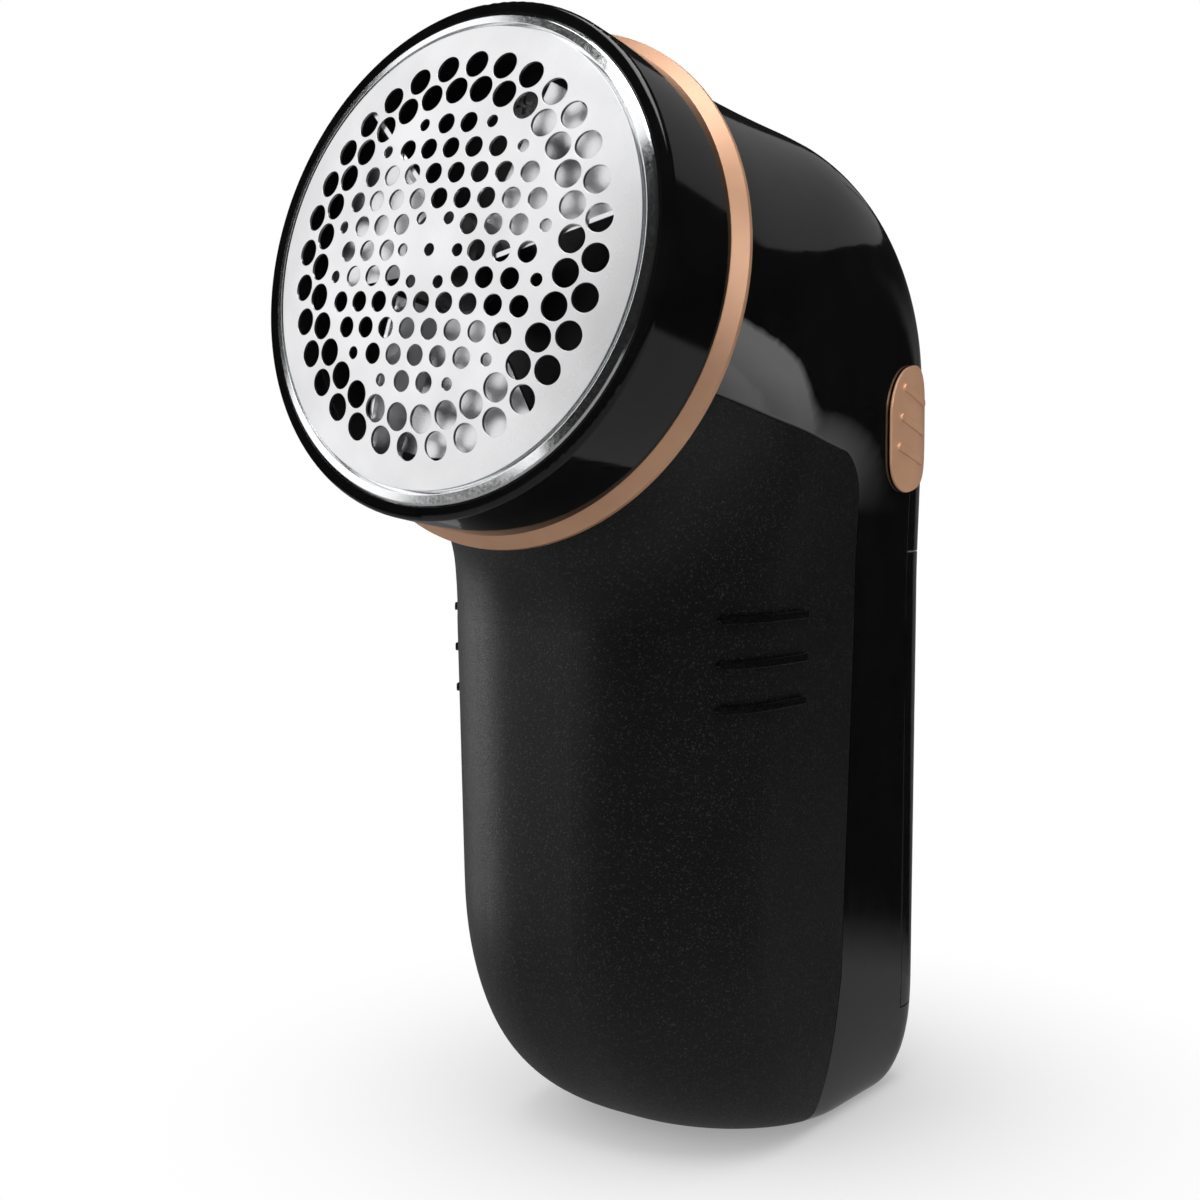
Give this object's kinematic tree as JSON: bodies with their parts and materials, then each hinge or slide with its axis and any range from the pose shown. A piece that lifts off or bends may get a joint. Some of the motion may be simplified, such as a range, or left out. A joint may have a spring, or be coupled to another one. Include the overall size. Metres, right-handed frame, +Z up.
{
  "type": "fabric shaver",
  "caption": "Hand-held battery fabric shaver: round perforated foil head on a bent upright handle, with a pull-off lint container in front and a battery door behind.",
  "frame": {"origin": "middle of the flat underside that the shaver stands on", "axes": "+Z up the handle, the perforated foil faces -Y and slightly up, X = 0 is the symmetry plane"},
  "size_m": [0.0602, 0.0801, 0.1354],
  "materials": {
    "gloss_black": "high-gloss moulded plastic",
    "copper_trim": "satin copper-coloured lacquer on plastic",
    "textured_black": "fine spark-eroded texture with a faint sparkle",
    "rib_black": "smooth black plastic",
    "foil_steel": "satin stainless steel foil",
    "bright_band": "bright plated band",
    "dark_plastic": "plain black moulding",
    "seal_rubber": "soft black rubber",
    "screw_steel": "zinc-plated steel",
    "blade_steel": "ground stainless steel",
    "spring_steel": "nickel-plated steel",
    "nylon_white": "natural nylon",
    "motor_steel": "zinc-plated deep-drawn steel",
    "magnet_grey": "sintered ferrite",
    "brass": "sintered bronze and tinned brass",
    "cell_wrap": "plain printed film over a steel can",
    "wire_red": "PVC-insulated lead",
    "wire_blue": "PVC-insulated lead",
    "wire_black": "PVC-insulated lead"
  },
  "bodies": {
    "housing": {"main_housing": "gloss_black", "rear_cover": "gloss_black", "trim_ring": "copper_trim", "blade_chamber": "dark_plastic", "chute_seal": "seal_rubber", "chamber_screws": "screw_steel", "motor_can": "motor_steel", "motor_bushes": "brass", "motor_end_cap": "nylon_white", "motor_terminals": "brass", "motor_magnets": "magnet_grey", "motor_screws": "screw_steel", "motor_cradle": "dark_plastic", "battery_tray": "dark_plastic", "battery_cell_left": "cell_wrap", "battery_cell_right": "cell_wrap", "contact_springs": "spring_steel", "contact_plates": "spring_steel", "switch_body": "dark_plastic", "wire_red": "wire_red", "wire_blue": "wire_blue", "wire_black": "wire_black"},
    "rotor": {"motor_armature": "motor_steel", "motor_shaft": "blade_steel", "drive_hub": "nylon_white", "cutter_spring": "spring_steel"},
    "cutter": {"cutter_hub": "dark_plastic", "cutter_blades": "blade_steel", "cutter_cap": "dark_plastic"},
    "foil_cassette": {"mesh_foil": "foil_steel", "foil_band": "bright_band"},
    "collar": {"head_collar": "gloss_black"},
    "container": {"lint_container": "textured_black", "grip_ribs": "rib_black"},
    "door": {"battery_door": "gloss_black"},
    "switch": {"switch_knob": "copper_trim", "switch_slider": "dark_plastic"}
  },
  "joints": [
    {"name": "rotor_spin", "type": "hinge", "parent": "housing", "child": "rotor", "pos_m": [0, -0.058, 0.1075], "axis": [0, -0.9859, 0.1676], "continuous": true},
    {"name": "cutter_float", "type": "slide", "parent": "rotor", "child": "cutter", "axis": [0, 0.9859, -0.1676], "range_m": [0, 0.001], "stiffness_N_per_m": 400, "deforming": ["cutter_spring"]},
    {"name": "head_lift", "type": "slide", "parent": "housing", "child": "foil_cassette", "axis": [0, -0.9859, 0.1676], "range_m": [0, 0.03]},
    {"name": "collar_turn", "type": "hinge", "parent": "foil_cassette", "child": "collar", "pos_m": [0, -0.058, 0.1075], "axis": [0, -0.9859, 0.1676], "range_deg": [0, 25]},
    {"name": "container_slide", "type": "slide", "parent": "housing", "child": "container", "axis": [0, -0.1676, -0.9859], "range_m": [0, 0.09]},
    {"name": "door_hinge", "type": "hinge", "parent": "housing", "child": "door", "pos_m": [0, 0.01755, 0.0124], "axis": [-1, 0, 0], "range_deg": [0, 80]},
    {"name": "switch_slide", "type": "slide", "parent": "housing", "child": "switch", "axis": [0, 0, -1], "range_m": [0, 0.004]}
  ]
}
